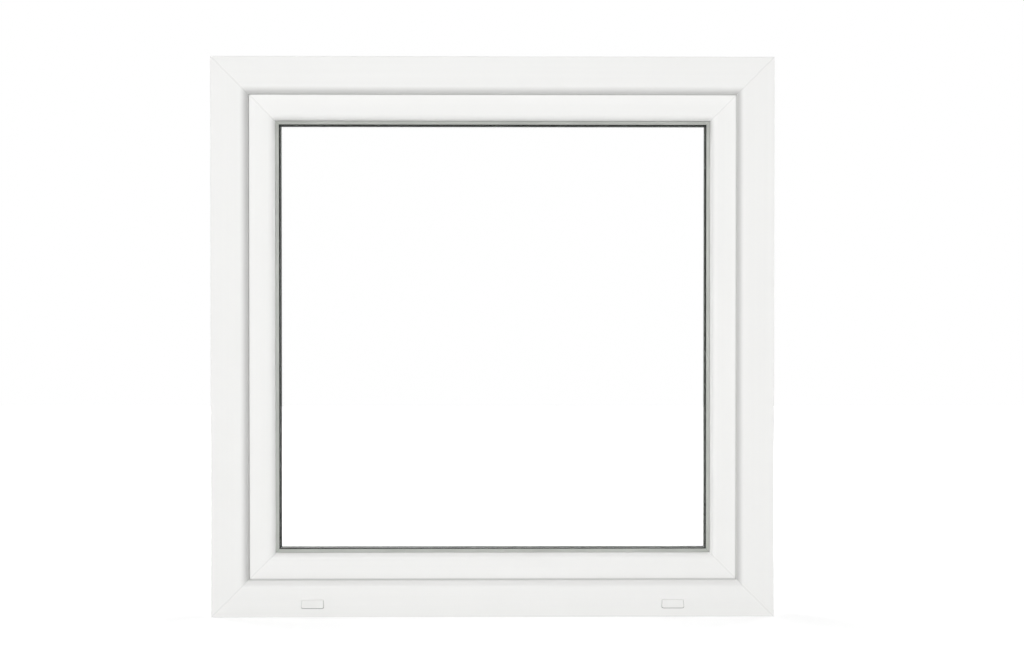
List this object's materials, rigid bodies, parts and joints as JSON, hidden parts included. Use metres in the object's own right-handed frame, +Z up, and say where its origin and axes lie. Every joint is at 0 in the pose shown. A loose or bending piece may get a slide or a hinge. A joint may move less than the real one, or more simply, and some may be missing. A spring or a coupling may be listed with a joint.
{
  "type": "tilt and turn window",
  "caption": "White plastic tilt and turn window, closed: mitred frame and sash, sealed glass unit, drain caps, handle and hinges.",
  "frame": {"origin": "on the frame's underside, at the middle of its width and of the frame's depth", "axes": "+X across the window to the hinge side, +Y from outdoors into the room, +Z up"},
  "size_m": [1, 0.1352, 0.995],
  "materials": {
    "profile_white": "smooth white plastic profile with a low sheen",
    "seal_grey": "light grey elastomer seal, matte",
    "spacer_dark": "dark spacer bar with fine perforation",
    "glass": "clear float glass",
    "cap_white": "moulded white plastic",
    "handle_white": "white powder coat on cast metal",
    "hinge_white": "white coated hinge covers",
    "pin_steel": "zinc plated steel pin"
  },
  "bodies": {
    "root": {"frame_sill": "profile_white", "frame_head": "profile_white", "frame_jamb_left": "profile_white", "frame_jamb_right": "profile_white", "sash_bottom_rail": "profile_white", "sash_top_rail": "profile_white", "sash_stile_left": "profile_white", "sash_stile_right": "profile_white", "frame_seal_bottom": "seal_grey", "frame_seal_top": "seal_grey", "frame_seal_left": "seal_grey", "frame_seal_right": "seal_grey", "sash_seal_bottom": "seal_grey", "sash_seal_top": "seal_grey", "sash_seal_left": "seal_grey", "sash_seal_right": "seal_grey", "glazing_seal_bottom": "seal_grey", "glazing_seal_top": "seal_grey", "glazing_seal_left": "seal_grey", "glazing_seal_right": "seal_grey", "glass_spacer_bottom": "spacer_dark", "glass_spacer_top": "spacer_dark", "glass_spacer_left": "spacer_dark", "glass_spacer_right": "spacer_dark", "glazing_bead_bottom": "profile_white", "glazing_bead_top": "profile_white", "glazing_bead_left": "profile_white", "glazing_bead_right": "profile_white", "bead_seal_bottom": "seal_grey", "bead_seal_top": "seal_grey", "bead_seal_left": "seal_grey", "bead_seal_right": "seal_grey", "glass_outer_pane": "glass", "glass_inner_pane": "glass", "drain_cap_left": "cap_white", "drain_cap_right": "cap_white", "handle_rosette": "handle_white", "handle_lever": "handle_white", "corner_bearing": "hinge_white", "corner_band": "hinge_white", "stay_bearing": "hinge_white", "stay_band": "hinge_white", "corner_pin": "pin_steel", "stay_pin": "pin_steel"}
  },
  "joints": []
}
